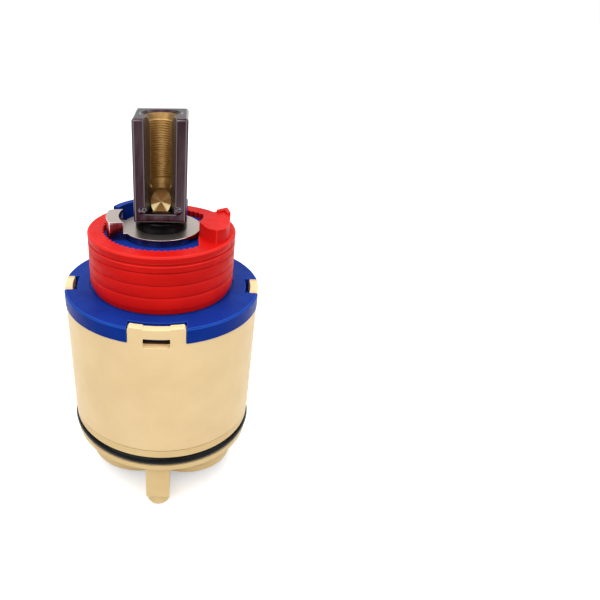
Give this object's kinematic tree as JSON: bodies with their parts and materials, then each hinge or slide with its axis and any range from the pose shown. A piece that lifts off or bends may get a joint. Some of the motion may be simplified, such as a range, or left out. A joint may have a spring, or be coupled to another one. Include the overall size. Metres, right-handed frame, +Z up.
{
  "type": "pressure balance cartridge",
  "caption": "Cylindrical shower mixer cartridge: square slotted stem, ribbed limit ring, snap-tab housing, seal ring, D-shaped ports with a balance spool and locating pegs underneath.",
  "frame": {"origin": "centre of the port face, on the web between the two D-shaped ports", "axes": "+Z up the stem, -Y towards the front where the stem's slot is, X along the balance spool with the limit block on +X"},
  "size_m": [0.0472, 0.0472, 0.093],
  "materials": {
    "housing_plastic": "satin moulded acetal, cream",
    "cover_plastic": "satin moulded acetal, blue",
    "ring_plastic": "satin moulded nylon, red",
    "stem_plating": "dark bright plating on brass",
    "disc_steel": "satin plated steel",
    "seal_rubber": "black nitrile rubber",
    "carrier_plastic": "glass-filled nylon, off-white",
    "ceramic": "lapped alumina ceramic, white",
    "spool_steel": "fine turned stainless steel"
  },
  "bodies": {
    "body": {"housing": "housing_plastic", "base": "housing_plastic", "cover": "cover_plastic", "glide_washer": "carrier_plastic", "fixed_disc": "ceramic", "disc_seals": "seal_rubber", "cover_seal": "seal_rubber", "main_seal": "seal_rubber", "port_seal_left": "seal_rubber", "port_seal_right": "seal_rubber", "balance_sleeve": "spool_steel", "sleeve_seals": "seal_rubber", "balance_cap_left": "housing_plastic", "balance_cap_right": "housing_plastic"},
    "stem": {"stem": "stem_plating", "stem_o_ring": "seal_rubber", "spindle_seals": "seal_rubber", "stop_disc": "disc_steel", "retaining_clip": "disc_steel", "drive_carrier": "carrier_plastic", "moving_disc": "ceramic"},
    "limit_ring": {"limit_ring": "ring_plastic"},
    "balance_spool": {"balance_spool": "spool_steel"}
  },
  "joints": [
    {"name": "stem_turn", "type": "hinge", "parent": "body", "child": "stem", "pos_m": [0, 0, 0.05], "axis": [0, 0, 1], "range_deg": [-7, 105]},
    {"name": "ring_lift", "type": "slide", "parent": "body", "child": "limit_ring", "axis": [0, 0, 1], "range_m": [0, 0.016]},
    {"name": "balance_slide", "type": "slide", "parent": "body", "child": "balance_spool", "axis": [1, 0, 0], "range_m": [-0.0015, 0.0015]}
  ]
}
